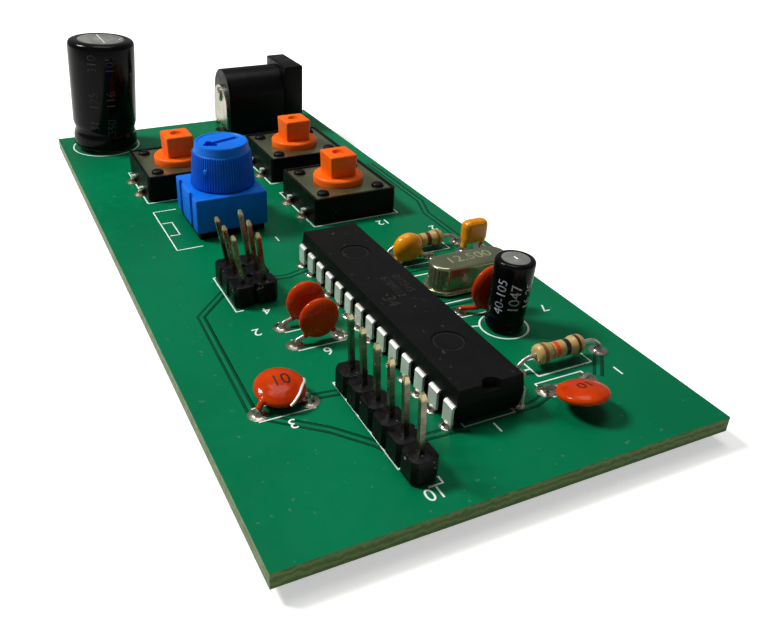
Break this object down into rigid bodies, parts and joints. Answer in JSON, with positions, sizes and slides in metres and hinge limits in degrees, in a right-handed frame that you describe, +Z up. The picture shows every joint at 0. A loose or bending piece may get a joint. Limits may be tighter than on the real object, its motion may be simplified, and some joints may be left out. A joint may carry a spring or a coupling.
{
  "type": "led controller circuit board",
  "caption": "Green circuit board with a long controller chip, pin headers, a blue trimmer knob, orange push buttons, a power inlet jack and small through-hole components.",
  "frame": {"origin": "centre of the board's outline, on the surface that its solder joints stand on", "axes": "+Z up through the board, out of the component side; +Y along the board, from the output header's end to the power inlet's end; +X across the board, the way the power inlet's mouth faces"},
  "size_m": [0.045, 0.1, 0.0204],
  "materials": {
    "board_laminate": "green solder mask on glass laminate, satin gloss",
    "solder": "bright tin solder",
    "black_moulding": "black moulded plastic",
    "tinned_leads": "tinned wire and strip",
    "gold_pins": "gold flash over brass",
    "blue_plastic": "bright blue moulded plastic",
    "track_ceramic": "dark printed track on ceramic",
    "wiper_metal": "sprung brass strip",
    "capacitor_can": "drawn aluminium",
    "capacitor_sleeve": "shrunk black plastic sleeve",
    "rubber_seal": "black rubber plug",
    "crystal_can": "nickel-plated drawn can",
    "resistor_lacquer": "tan lacquer with colour bands",
    "orange_dip": "orange-brown dipped coating",
    "yellow_dip": "yellow dipped coating",
    "jack_metal": "nickel-plated contact strip",
    "switch_moulding": "black moulded plastic",
    "switch_cover": "dark olive cover plate",
    "orange_plastic": "orange moulded plastic",
    "dome_metal": "sprung steel",
    "switch_terminals": "tinned strip"
  },
  "bodies": {
    "board": {"bead_capacitor_1": "yellow_dip", "bead_capacitor_2": "yellow_dip", "bead_capacitor_leads": "tinned_leads", "chip_body": "black_moulding", "chip_leads": "tinned_leads", "circuit_board": "board_laminate", "crystal_base": "crystal_can", "crystal_can": "crystal_can", "crystal_leads": "tinned_leads", "disc_capacitor_1": "orange_dip", "disc_capacitor_2": "orange_dip", "disc_capacitor_3": "orange_dip", "disc_capacitor_4": "orange_dip", "disc_capacitor_5": "orange_dip", "disc_capacitor_leads": "tinned_leads", "jack_centre_pin": "jack_metal", "jack_housing": "black_moulding", "jack_rear_plate": "jack_metal", "jack_side_contact": "jack_metal", "jack_spring_contact": "jack_metal", "large_capacitor_can": "capacitor_can", "large_capacitor_leads": "tinned_leads", "large_capacitor_seal": "rubber_seal", "large_capacitor_sleeve": "capacitor_sleeve", "output_header_base": "black_moulding", "output_header_pins": "gold_pins", "pin_block_base": "black_moulding", "pin_block_pins": "gold_pins", "resistor_1": "resistor_lacquer", "resistor_2": "resistor_lacquer", "resistor_leads": "tinned_leads", "small_capacitor_can": "capacitor_can", "small_capacitor_leads": "tinned_leads", "small_capacitor_seal": "rubber_seal", "small_capacitor_sleeve": "capacitor_sleeve", "solder_joints": "solder", "switch_1_base": "switch_moulding", "switch_1_cover": "switch_cover", "switch_1_dome": "dome_metal", "switch_1_terminals": "switch_terminals", "switch_2_base": "switch_moulding", "switch_2_cover": "switch_cover", "switch_2_dome": "dome_metal", "switch_2_terminals": "switch_terminals", "switch_3_base": "switch_moulding", "switch_3_cover": "switch_cover", "switch_3_dome": "dome_metal", "switch_3_terminals": "switch_terminals", "trimmer_body": "blue_plastic", "trimmer_pins": "tinned_leads", "trimmer_track": "track_ceramic"},
    "knob": {"trimmer_knob": "blue_plastic", "trimmer_wiper": "wiper_metal"},
    "button_1": {"switch_1_button": "orange_plastic"},
    "button_2": {"switch_2_button": "orange_plastic"},
    "button_3": {"switch_3_button": "orange_plastic"}
  },
  "joints": [
    {"name": "knob_turn", "type": "hinge", "parent": "board", "child": "knob", "pos_m": [-0.0068, 0.0081, 0.0102], "axis": [0, 0, 1], "range_deg": [-150, 150]},
    {"name": "button_1_press", "type": "slide", "parent": "board", "child": "button_1", "axis": [0, 0, 1], "range_m": [-0.0003, 0], "stiffness_N_per_m": 3000, "deforming": ["switch_1_dome"]},
    {"name": "button_2_press", "type": "slide", "parent": "board", "child": "button_2", "axis": [0, 0, 1], "range_m": [-0.0003, 0], "stiffness_N_per_m": 3000, "deforming": ["switch_2_dome"]},
    {"name": "button_3_press", "type": "slide", "parent": "board", "child": "button_3", "axis": [0, 0, 1], "range_m": [-0.0003, 0], "stiffness_N_per_m": 3000, "deforming": ["switch_3_dome"]}
  ]
}
